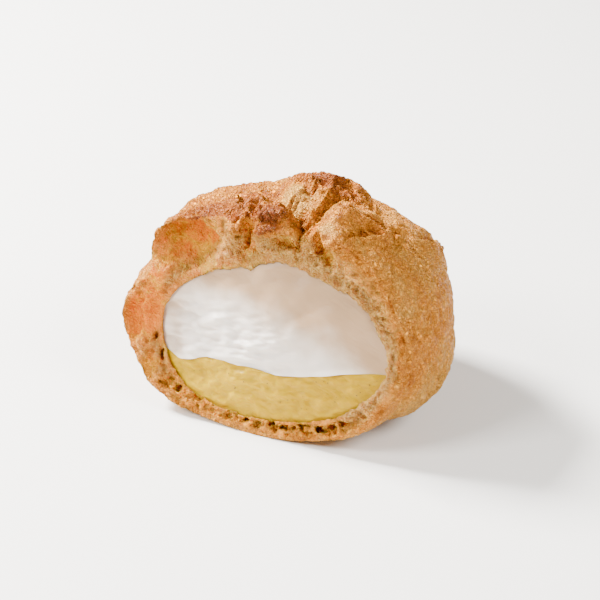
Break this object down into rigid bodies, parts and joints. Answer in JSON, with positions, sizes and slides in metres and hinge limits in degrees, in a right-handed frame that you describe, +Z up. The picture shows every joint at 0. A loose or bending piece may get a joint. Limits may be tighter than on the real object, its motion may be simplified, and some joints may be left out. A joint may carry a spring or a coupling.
{
  "type": "cream puff",
  "caption": "Choux pastry puff filled with custard and whipped cream, shown with its front cut away to open the filling.",
  "frame": {"origin": "on the table, under the middle of the whole piece's width and depth", "axes": "+Z up, -Y out of the cut face towards the viewer, +X to the right along the cut face"},
  "size_m": [0.0864, 0.064, 0.0609],
  "materials": {
    "crust": "dry golden-brown baked choux crust, pale moist crumb at the cut",
    "whipped_cream": "soft white whipped cream, faintly shiny",
    "custard": "smooth yellow custard, slightly shiny"
  },
  "bodies": {
    "root": {"shell": "crust", "whipped_cream": "whipped_cream", "custard": "custard"}
  },
  "joints": []
}
